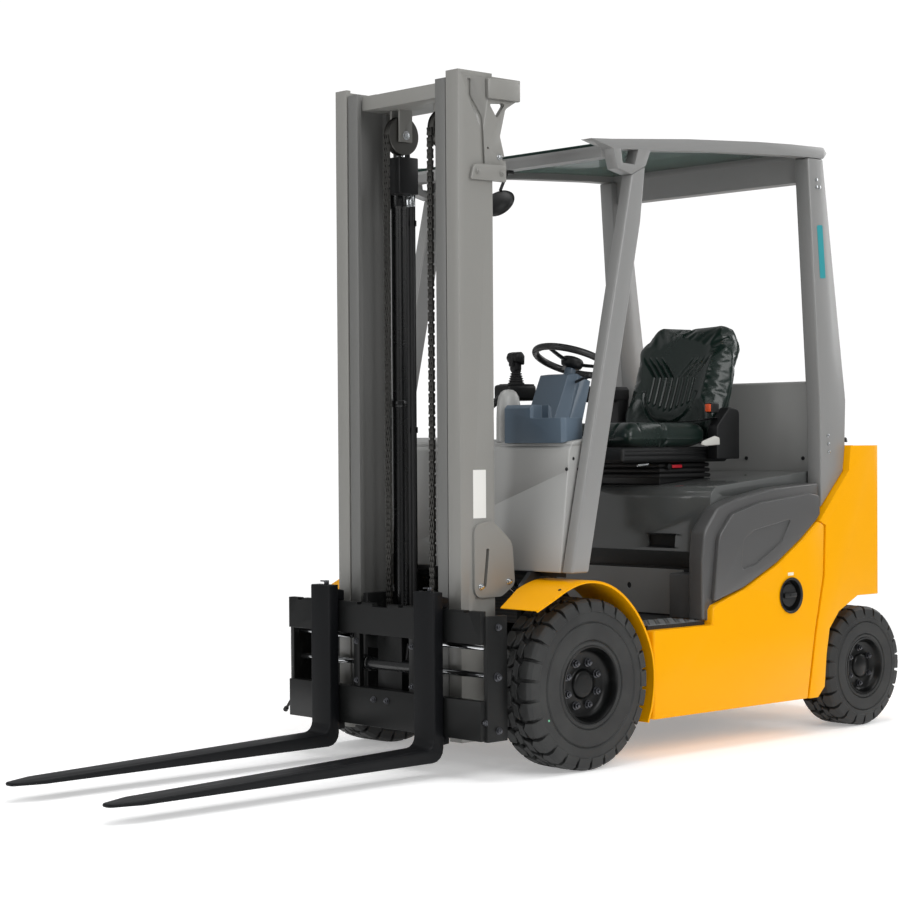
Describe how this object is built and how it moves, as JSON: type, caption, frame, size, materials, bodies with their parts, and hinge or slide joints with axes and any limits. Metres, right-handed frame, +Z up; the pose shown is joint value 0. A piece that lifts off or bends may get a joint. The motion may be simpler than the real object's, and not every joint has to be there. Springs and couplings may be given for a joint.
{
  "type": "forklift truck",
  "caption": "Compact counterbalance forklift truck with a telescoping tilting mast, side-shifting fork carriage, driver guard and lifting seat hood.",
  "frame": {"origin": "centre of the bounding box on the floor", "axes": "+X forward toward the fork tips, +Y to the driver's left, +Z up"},
  "size_m": [3.49, 1.124, 2.262],
  "materials": {
    "grey_paint": "satin",
    "yellow_paint": "semi-gloss",
    "black_paint": "satin",
    "fork_paint": "satin, worn on top",
    "cowl_plastic": "satin moulded",
    "hood_plastic": "semi-gloss moulded",
    "slate_plastic": "matt moulded",
    "black_plastic": "matt moulded",
    "roof_panel": "smoked sheet",
    "tyre_rubber": "matt",
    "seat_vinyl": "grained vinyl",
    "chrome_rod": "polished",
    "cast_iron": "painted",
    "chain_steel": "oiled"
  },
  "bodies": {
    "chassis": {"chassis_frame": "black_paint", "drive_axle": "cast_iron", "side_frame_left": "yellow_paint", "side_frame_right": "yellow_paint", "side_cover_left": "hood_plastic", "side_cover_right": "hood_plastic", "fender_left": "yellow_paint", "fender_right": "yellow_paint", "steer_axle": "cast_iron", "counterweight": "yellow_paint", "engine_block": "cast_iron", "floor_plate": "black_plastic", "cowl": "cowl_plastic", "dash_tray": "slate_plastic", "control_console": "black_plastic", "guard_front_pillar_left": "grey_paint", "guard_front_pillar_right": "grey_paint", "guard_rear_pillar_left": "grey_paint", "guard_rear_pillar_right": "grey_paint", "guard_roof_frame": "grey_paint", "guard_roof_panel": "roof_panel"},
    "front_wheel_left": {"front_wheel_left": "tyre_rubber"},
    "front_wheel_right": {"front_wheel_right": "tyre_rubber"},
    "knuckle_left": {"knuckle_left": "cast_iron"},
    "knuckle_right": {"knuckle_right": "cast_iron"},
    "rear_wheel_left": {"rear_wheel_left": "tyre_rubber"},
    "rear_wheel_right": {"rear_wheel_right": "tyre_rubber"},
    "steering_column": {"steering_column": "slate_plastic"},
    "steering_wheel": {"steering_wheel": "black_plastic"},
    "hood": {"hood": "hood_plastic", "rear_wall": "hood_plastic", "seat_base": "black_plastic", "seat_cushion": "seat_vinyl", "seat_backrest": "seat_vinyl", "belt_module": "black_plastic", "armrest": "black_plastic"},
    "outer_mast": {"outer_rail_left": "grey_paint", "outer_rail_right": "grey_paint", "outer_cross_foot": "grey_paint", "outer_cross_head": "grey_paint", "lift_barrel_left": "black_paint", "lift_barrel_right": "black_paint"},
    "inner_mast": {"inner_rail_left": "grey_paint", "inner_rail_right": "grey_paint", "inner_cross_head": "grey_paint", "inner_cross_foot": "grey_paint", "lift_rod_left": "chrome_rod", "lift_rod_right": "chrome_rod", "lift_chain_left": "chain_steel", "lift_chain_right": "chain_steel"},
    "lift_carriage": {"lift_carriage": "black_paint"},
    "fork_carriage": {"fork_carriage": "black_paint"},
    "fork_left": {"fork_left": "fork_paint"},
    "fork_right": {"fork_right": "fork_paint"},
    "tilt_barrel_left": {"tilt_barrel_left": "black_paint"},
    "tilt_barrel_right": {"tilt_barrel_right": "black_paint"},
    "tilt_rod_left": {"tilt_rod_left": "chrome_rod"},
    "tilt_rod_right": {"tilt_rod_right": "chrome_rod"}
  },
  "joints": [
    {"name": "front_wheel_spin_left", "type": "hinge", "parent": "chassis", "child": "front_wheel_left", "pos_m": [0.085, 0.473, 0.28], "axis": [0, 1, 0], "continuous": true},
    {"name": "front_wheel_spin_right", "type": "hinge", "parent": "chassis", "child": "front_wheel_right", "pos_m": [0.085, -0.473, 0.28], "axis": [0, 1, 0], "continuous": true},
    {"name": "steer_left", "type": "hinge", "parent": "chassis", "child": "knuckle_left", "pos_m": [-1.43, 0.4, 0.223], "axis": [0, 0, 1], "range_deg": [-40, 40]},
    {"name": "steer_right", "type": "hinge", "parent": "chassis", "child": "knuckle_right", "pos_m": [-1.43, -0.4, 0.223], "axis": [0, 0, 1], "range_deg": [-40, 40]},
    {"name": "rear_wheel_spin_left", "type": "hinge", "parent": "knuckle_left", "child": "rear_wheel_left", "pos_m": [-1.43, 0.4375, 0.223], "axis": [0, 1, 0], "continuous": true},
    {"name": "rear_wheel_spin_right", "type": "hinge", "parent": "knuckle_right", "child": "rear_wheel_right", "pos_m": [-1.43, -0.4375, 0.223], "axis": [0, 1, 0], "continuous": true},
    {"name": "hood_lift", "type": "hinge", "parent": "chassis", "child": "hood", "pos_m": [-1.285, 0, 1.07], "axis": [0, -1, 0], "range_deg": [0, 38]},
    {"name": "column_tilt", "type": "hinge", "parent": "chassis", "child": "steering_column", "pos_m": [-0.1, 0, 0.55], "axis": [0, 1, 0], "range_deg": [0, 24]},
    {"name": "steering_wheel_turn", "type": "hinge", "parent": "steering_column", "child": "steering_wheel", "pos_m": [-0.40891, 0, 1.35475], "axis": [-0.3584, 0, 0.9336], "continuous": true},
    {"name": "mast_tilt", "type": "hinge", "parent": "chassis", "child": "outer_mast", "pos_m": [0.085, 0, 0.28], "axis": [0, 1, 0], "range_deg": [-6.5, 6]},
    {"name": "inner_mast_lift", "type": "slide", "parent": "outer_mast", "child": "inner_mast", "axis": [0, 0, 1], "range_m": [0, 1.6]},
    {"name": "carriage_lift", "type": "slide", "parent": "inner_mast", "child": "lift_carriage", "axis": [0, 0, 1], "range_m": [0, 1.6], "deforming": ["lift_chain_left", "lift_chain_right"]},
    {"name": "side_shift", "type": "slide", "parent": "lift_carriage", "child": "fork_carriage", "axis": [0, 1, 0], "range_m": [-0.1, 0.1]},
    {"name": "fork_spread_left", "type": "slide", "parent": "fork_carriage", "child": "fork_left", "axis": [0, 1, 0], "range_m": [-0.15, 0.155]},
    {"name": "fork_spread_right", "type": "slide", "parent": "fork_carriage", "child": "fork_right", "axis": [0, 1, 0], "range_m": [-0.155, 0.15]},
    {"name": "tilt_barrel_swing_left", "type": "hinge", "parent": "chassis", "child": "tilt_barrel_left", "pos_m": [-0.2, 0.284, 0.33], "axis": [0, 1, 0], "range_deg": [-4.4, 3.8]},
    {"name": "tilt_barrel_swing_right", "type": "hinge", "parent": "chassis", "child": "tilt_barrel_right", "pos_m": [-0.2, -0.284, 0.33], "axis": [0, 1, 0], "range_deg": [-4.4, 3.8]},
    {"name": "tilt_rod_stroke_left", "type": "slide", "parent": "tilt_barrel_left", "child": "tilt_rod_left", "axis": [0.8131, 0, 0.5822], "range_m": [-0.027, 0.023]},
    {"name": "tilt_rod_stroke_right", "type": "slide", "parent": "tilt_barrel_right", "child": "tilt_rod_right", "axis": [0.8131, 0, 0.5822], "range_m": [-0.027, 0.023]}
  ],
  "couplings": [
    {"joint": "steer_right", "follows": "steer_left", "ratio": 1},
    {"joint": "carriage_lift", "follows": "inner_mast_lift", "ratio": 1},
    {"joint": "column_tilt", "follows": "hood_lift", "ratio": 0.63},
    {"joint": "tilt_barrel_swing_left", "follows": "mast_tilt", "ratio": 0.593},
    {"joint": "tilt_rod_stroke_left", "follows": "mast_tilt", "m_per_rad": 0.2065},
    {"joint": "tilt_barrel_swing_right", "follows": "mast_tilt", "ratio": 0.593},
    {"joint": "tilt_rod_stroke_right", "follows": "mast_tilt", "m_per_rad": 0.2065}
  ]
}
